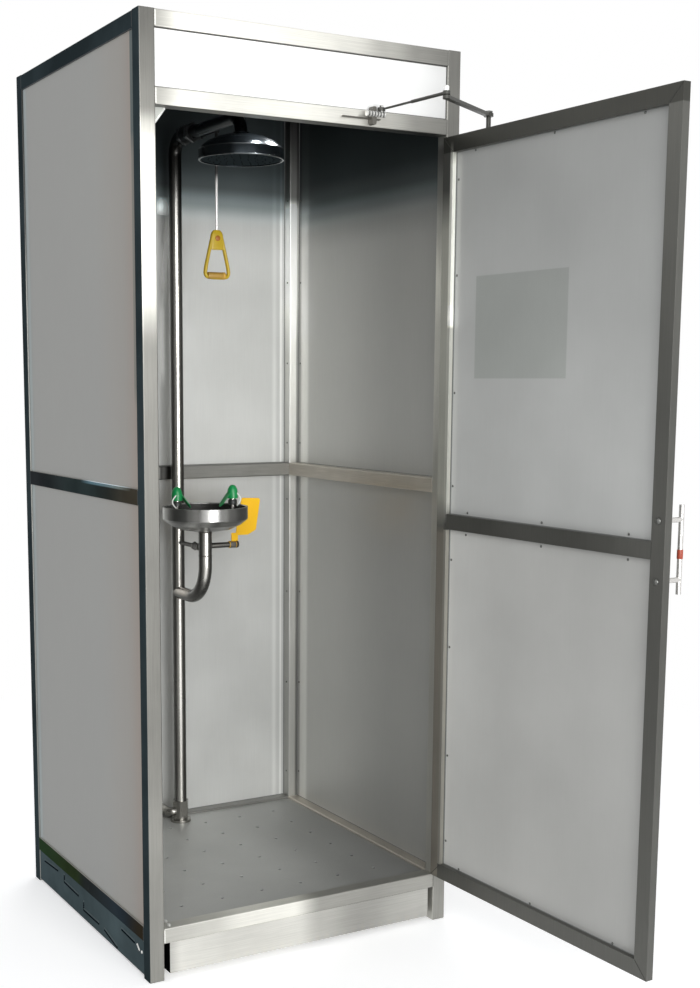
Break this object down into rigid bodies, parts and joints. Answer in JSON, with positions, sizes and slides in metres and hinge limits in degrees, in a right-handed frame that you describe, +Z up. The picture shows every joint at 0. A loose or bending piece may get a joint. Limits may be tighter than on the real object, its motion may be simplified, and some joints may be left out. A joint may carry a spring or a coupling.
{
  "type": "emergency shower booth",
  "caption": "Enclosed stainless steel decontamination shower booth with overhead shower, eyewash bowl, perforated floor and an outward-swinging door with a closer.",
  "frame": {"origin": "centre of the bounding box on the ground, with the door open as in the picture; the booth's own centre lies 0.021 m to -X and 0.412 m to +Y of it", "axes": "+Z up, -Y out through the doorway, +X to the right of someone who faces the doorway"},
  "size_m": [0.9418, 1.6894, 2.335],
  "materials": {
    "frame_steel": "brushed",
    "panel_steel": "satin",
    "header_white": "satin",
    "base_steel": "brushed",
    "pipe_steel": "satin",
    "bowl_steel": "satin",
    "yellow_plastic": "gloss",
    "green_plastic": "gloss",
    "flag_yellow": "gloss",
    "door_steel": "brushed",
    "door_sheet": "matte",
    "closer_grey": "satin"
  },
  "bodies": {
    "booth": {"post_front_left": "frame_steel", "post_front_right": "frame_steel", "post_back_left": "frame_steel", "post_back_right": "frame_steel", "top_rail_front": "frame_steel", "top_rail_back": "frame_steel", "top_rail_left": "frame_steel", "top_rail_right": "frame_steel", "header_rail": "frame_steel", "mid_rail_back": "frame_steel", "mid_rail_left": "frame_steel", "mid_rail_right": "frame_steel", "low_rail_front": "frame_steel", "low_rail_left": "base_steel", "low_rail_right": "base_steel", "low_rail_back": "base_steel", "panel_left_upper": "panel_steel", "panel_left_lower": "panel_steel", "panel_right_upper": "panel_steel", "panel_right_lower": "panel_steel", "panel_back_upper": "panel_steel", "panel_back_lower": "panel_steel", "header_panel": "header_white", "roof_panel": "panel_steel", "doorway_gusset": "frame_steel", "floor_plate": "panel_steel", "sump_tray": "base_steel", "skirt_left": "base_steel", "skirt_right": "base_steel", "skirt_back": "base_steel", "standpipe": "pipe_steel", "shower_valve": "pipe_steel", "shower_arm": "pipe_steel", "shower_head": "bowl_steel", "floor_union": "pipe_steel", "eyewash_bowl": "bowl_steel", "spray_manifold": "pipe_steel", "dust_cap_left": "green_plastic", "dust_cap_right": "green_plastic", "eyewash_drain": "pipe_steel", "eyewash_branch": "pipe_steel", "hinge_plate_lower": "frame_steel", "hinge_plate_upper": "frame_steel", "closer_shoe": "closer_grey"},
    "valve_lever": {"valve_lever": "pipe_steel"},
    "pull_handle": {"pull_handle": "yellow_plastic"},
    "push_flag": {"push_flag": "flag_yellow"},
    "door": {"door_frame": "door_steel", "door_panel_upper": "door_sheet", "door_panel_lower": "door_sheet", "door_handle": "bowl_steel", "hinge_leaf_lower": "frame_steel", "hinge_leaf_upper": "frame_steel", "closer_body": "closer_grey"},
    "closer_arm": {"closer_arm": "closer_grey"},
    "closer_forearm": {"closer_forearm": "closer_grey"}
  },
  "joints": [
    {"name": "door_hinge", "type": "hinge", "parent": "booth", "child": "door", "pos_m": [0.393, -0.0265, 1.128], "axis": [0, 0, 1], "range_deg": [-92, 0]},
    {"name": "closer_arm_pivot", "type": "hinge", "parent": "door", "child": "closer_arm", "pos_m": [0.415, -0.1605, 2.154], "axis": [0, 0, 1], "range_deg": [-1, 136]},
    {"name": "closer_forearm_pivot", "type": "hinge", "parent": "booth", "child": "closer_forearm", "pos_m": [0.171, -0.0445, 2.164], "axis": [0, 0, 1], "range_deg": [-3, 1]},
    {"name": "shower_valve_lever", "type": "hinge", "parent": "booth", "child": "valve_lever", "pos_m": [0.018, 0.6695, 2.195], "axis": [1, 0, 0], "range_deg": [0, 60]},
    {"name": "pull_handle_hook", "type": "hinge", "parent": "valve_lever", "child": "pull_handle", "pos_m": [0.024, 0.5845, 2.195], "axis": [1, 0, 0], "range_deg": [-61, 1]},
    {"name": "push_flag_valve", "type": "hinge", "parent": "booth", "child": "push_flag", "pos_m": [0.094, 0.6295, 1.009], "axis": [1, 0, 0], "range_deg": [-75, 0]}
  ],
  "couplings": [
    {"joint": "closer_arm_pivot", "follows": "door_hinge", "ratio": -1.4707},
    {"joint": "closer_forearm_pivot", "follows": "door_hinge", "ratio": 0.0188},
    {"joint": "pull_handle_hook", "follows": "shower_valve_lever", "ratio": -1}
  ]
}
